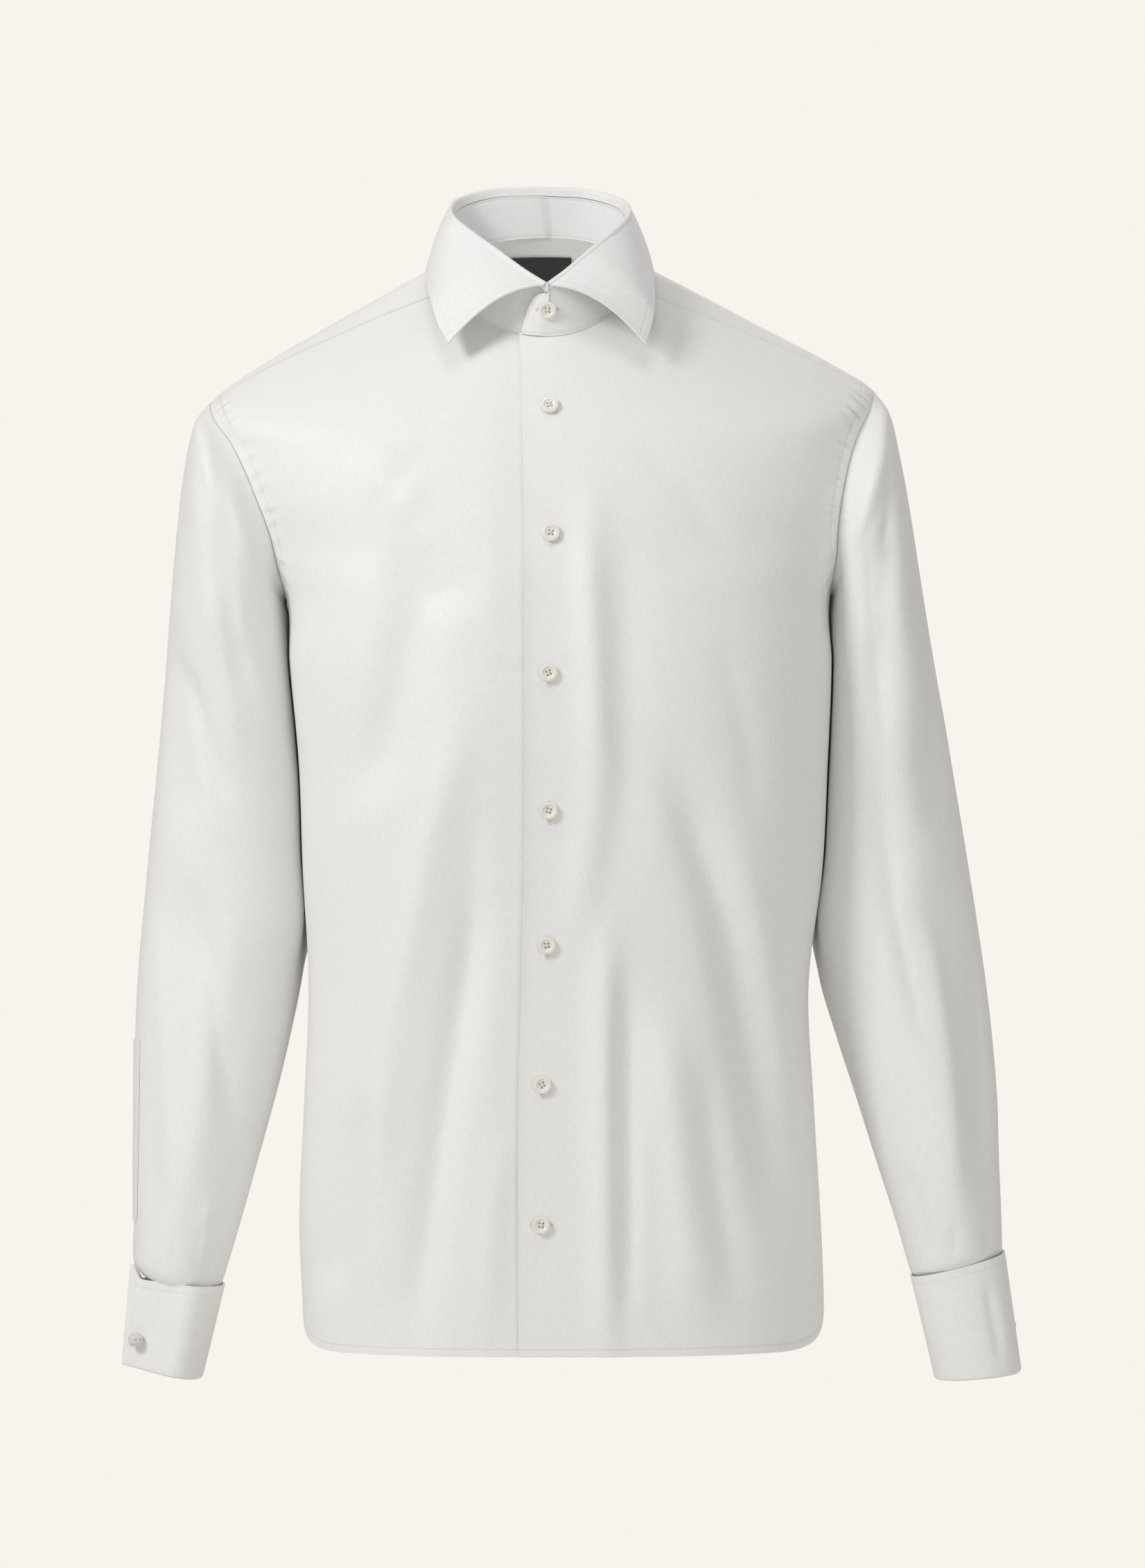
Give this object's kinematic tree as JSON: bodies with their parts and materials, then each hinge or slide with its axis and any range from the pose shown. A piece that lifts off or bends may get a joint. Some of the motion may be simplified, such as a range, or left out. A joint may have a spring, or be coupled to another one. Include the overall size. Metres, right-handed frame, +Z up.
{
  "type": "long sleeve dress shirt",
  "caption": "White long sleeve dress shirt with cutaway collar, plain buttoned front and turned-back double cuffs, shaped as worn.",
  "frame": {"origin": "centre of the neck ring, where the collar stand is sewn to the body; the wearer's neck and shoulders hold the shirt there", "axes": "+Z up, +X towards the wearer's left, -Y towards the front"},
  "size_m": [0.6233, 0.2564, 0.8255],
  "materials": {
    "cloth": "white mercerised cotton twill, soft sheen",
    "button": "cream pearly shirt button, polished",
    "label": "black woven satin label, plain",
    "silk_knot": "pale grey braided silk knot"
  },
  "bodies": {
    "root": {"front_left": "cloth", "front_right": "cloth", "back": "cloth", "yoke": "cloth", "sleeve_left": "cloth", "sleeve_right": "cloth", "placket_left": "cloth", "placket_right": "cloth", "cuff_left": "cloth", "cuff_right": "cloth", "collar_stand": "cloth", "collar_leaf": "cloth", "label": "label", "button_collar": "button", "button_1": "button", "button_2": "button", "button_3": "button", "button_4": "button", "button_5": "button", "button_6": "button", "button_7": "button", "link_left_a": "silk_knot", "link_left_b": "silk_knot", "link_right_a": "silk_knot", "link_right_b": "silk_knot"}
  },
  "joints": []
}
